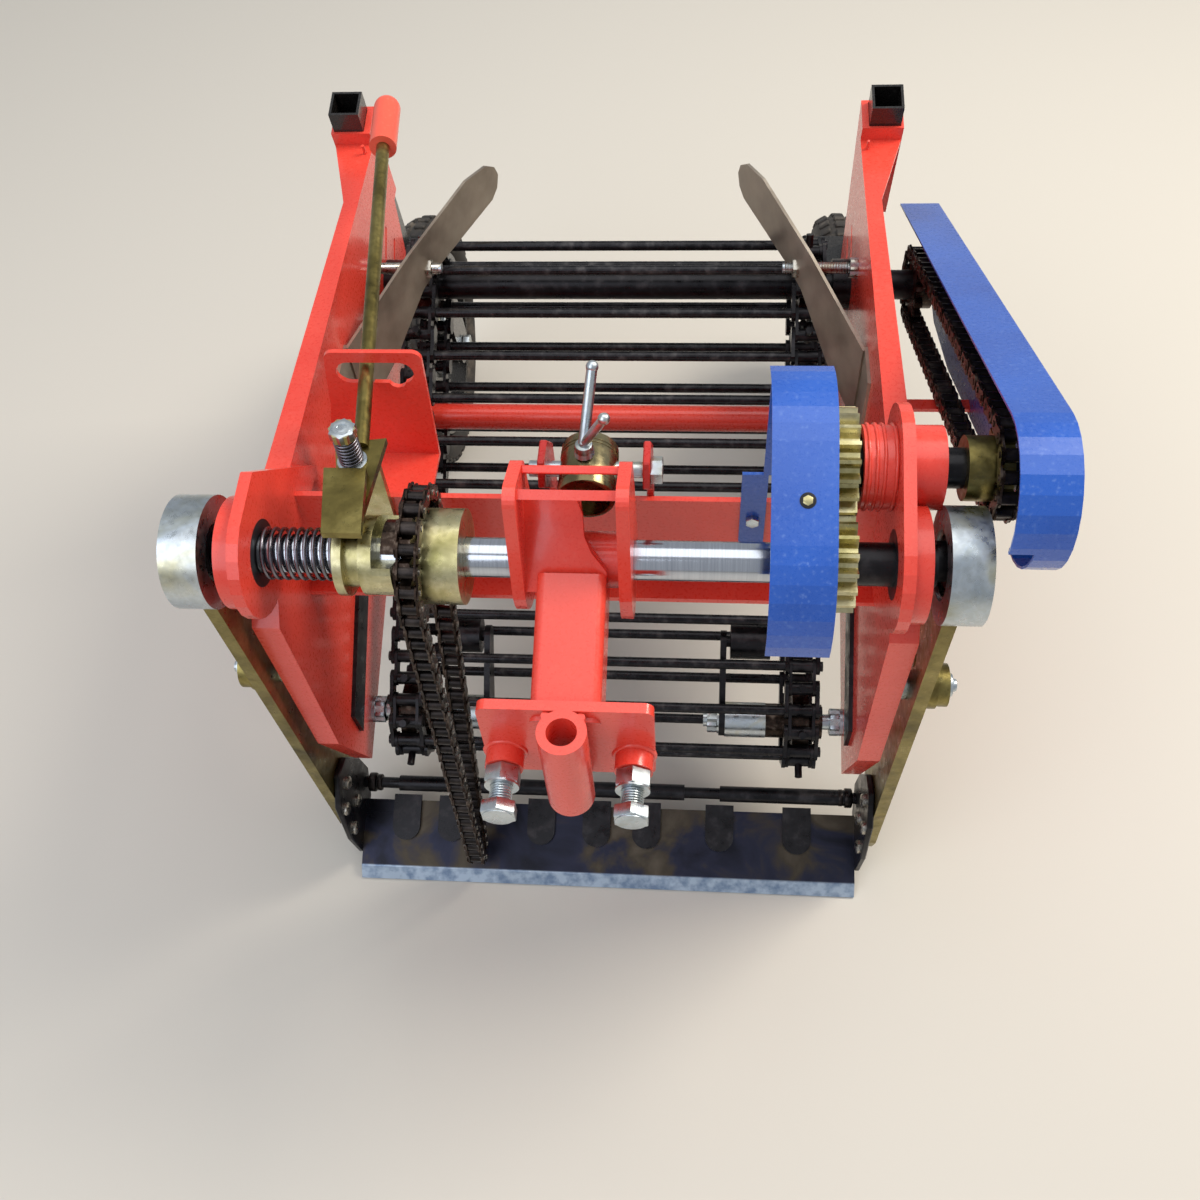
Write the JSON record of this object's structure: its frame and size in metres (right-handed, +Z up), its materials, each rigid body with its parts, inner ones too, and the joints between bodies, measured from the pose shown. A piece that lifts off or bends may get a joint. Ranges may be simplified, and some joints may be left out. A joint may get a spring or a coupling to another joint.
{
  "type": "walk-behind potato harvester",
  "caption": "Walk-behind potato harvester with a swinging digging blade, rod-chain conveyor, gear and chain drives, hitch pipe and two height-adjustable wheels.",
  "frame": {"origin": "centre of the whole machine's footprint box, on the ground", "axes": "+X to the chain-guard side, +Y towards the wheels (rear), +Z up"},
  "size_m": [0.652, 0.9706, 0.6437],
  "materials": {
    "orange_paint": "gloss",
    "dark_paint": "gloss",
    "blue_paint": "gloss",
    "black_paint": "satin",
    "rim_paint": "satin",
    "bearing_steel": "satin",
    "black_steel": "satin",
    "oiled_steel": "oily",
    "yellow_zinc": "satin",
    "silver_zinc": "satin",
    "bronze_zinc": "satin",
    "ground_steel": "ground",
    "spring_steel": "satin",
    "blade_steel": "scuffed",
    "stainless": "mottled",
    "red_grip": "gloss",
    "tyre": "matte"
  },
  "bodies": {
    "frame": {"side_plate_left": "orange_paint", "side_plate_right": "orange_paint", "shaft_ear_left": "orange_paint", "shaft_ear_right": "orange_paint", "shaft_bearings": "bearing_steel", "cross_beam": "orange_paint", "cross_tube": "orange_paint", "side_strips": "orange_paint", "trunnion_ears": "dark_paint", "conveyor_chains": "black_steel", "conveyor_rods": "black_steel", "front_idlers": "oiled_steel", "front_spacers": "yellow_zinc", "front_stub_bolts": "silver_zinc", "support_rollers": "black_steel", "rear_shaft": "black_steel", "rear_sprockets": "oiled_steel", "rear_bearing_blocks": "black_steel", "side_chain": "oiled_steel", "input_chain": "oiled_steel", "gate_bracket": "orange_paint", "lever_pin_bracket": "yellow_zinc", "gear_guard": "blue_paint", "chain_guard": "blue_paint", "guard_bars": "orange_paint", "deflectors": "stainless", "deflector_studs": "silver_zinc", "arm_pins": "silver_zinc"},
    "main_shaft": {"main_shaft": "ground_steel", "eccentric_stubs": "black_steel", "main_gear": "yellow_zinc", "clutch_spring": "spring_steel", "drive_sprocket": "oiled_steel", "drive_hub": "yellow_zinc"},
    "clutch": {"clutch_jaw": "yellow_zinc"},
    "counter_shaft": {"counter_shaft": "black_steel", "counter_gear": "yellow_zinc", "counter_sprocket": "oiled_steel"},
    "swing": {"swing_arm_left": "yellow_zinc", "swing_arm_right": "yellow_zinc", "eccentric_housings": "silver_zinc", "blade_end_plates": "black_steel", "blade": "blade_steel", "blade_hinge": "black_steel"},
    "drawbar": {"drawbar": "orange_paint", "hitch_bolts": "silver_zinc"},
    "trunnion": {"trunnion": "bronze_zinc"},
    "adjusting_screw": {"adjusting_screw": "silver_zinc"},
    "lever": {"clutch_lever": "yellow_zinc", "lever_grip": "red_grip"},
    "leg_left": {"leg_left": "black_paint"},
    "leg_right": {"leg_right": "black_paint"},
    "wheel_left": {"wheel_rim_left": "rim_paint", "tyre_left": "tyre"},
    "wheel_right": {"wheel_rim_right": "rim_paint", "tyre_right": "tyre"}
  },
  "joints": [
    {"name": "main_shaft_spin", "type": "hinge", "parent": "frame", "child": "main_shaft", "pos_m": [-0.013, -0.2943, 0.527], "axis": [1, 0, 0], "continuous": true},
    {"name": "counter_shaft_spin", "type": "hinge", "parent": "frame", "child": "counter_shaft", "pos_m": [0.237, -0.23073, 0.5608], "axis": [1, 0, 0], "continuous": true},
    {"name": "clutch_slide", "type": "slide", "parent": "main_shaft", "child": "clutch", "axis": [1, 0, 0], "range_m": [-0.0098, 0], "deforming": ["clutch_spring"]},
    {"name": "lever_swing", "type": "hinge", "parent": "frame", "child": "lever", "pos_m": [-0.181, -0.2333, 0.58], "axis": [0, 0, 1], "range_deg": [-9, 0]},
    {"name": "blade_swing", "type": "hinge", "parent": "frame", "child": "swing", "pos_m": [-0.013, -0.2853, 0.347], "axis": [1, 0, 0], "range_deg": [-1.5, 1.5]},
    {"name": "drawbar_tilt", "type": "hinge", "parent": "frame", "child": "drawbar", "pos_m": [-0.013, -0.2943, 0.527], "axis": [1, 0, 0], "range_deg": [-8, 12]},
    {"name": "trunnion_tilt", "type": "hinge", "parent": "frame", "child": "trunnion", "pos_m": [-0.013, -0.2413, 0.582], "axis": [1, 0, 0], "range_deg": [-5, 5]},
    {"name": "screw_turn", "type": "hinge", "parent": "trunnion", "child": "adjusting_screw", "pos_m": [-0.003, -0.2413, 0.58], "axis": [0, 0, 1], "continuous": true},
    {"name": "leg_left_slide", "type": "slide", "parent": "frame", "child": "leg_left", "axis": [0, -0.2079, 0.9781], "range_m": [-0.08, 0]},
    {"name": "leg_right_slide", "type": "slide", "parent": "frame", "child": "leg_right", "axis": [0, -0.2079, 0.9781], "range_m": [-0.08, 0]},
    {"name": "wheel_left_roll", "type": "hinge", "parent": "leg_left", "child": "wheel_left", "pos_m": [-0.266, 0.3253, 0.16], "axis": [1, 0, 0], "continuous": true},
    {"name": "wheel_right_roll", "type": "hinge", "parent": "leg_right", "child": "wheel_right", "pos_m": [0.24, 0.3253, 0.16], "axis": [1, 0, 0], "continuous": true}
  ],
  "couplings": [
    {"joint": "counter_shaft_spin", "follows": "main_shaft_spin", "ratio": -0.8},
    {"joint": "clutch_slide", "follows": "lever_swing", "m_per_rad": 0.061}
  ]
}
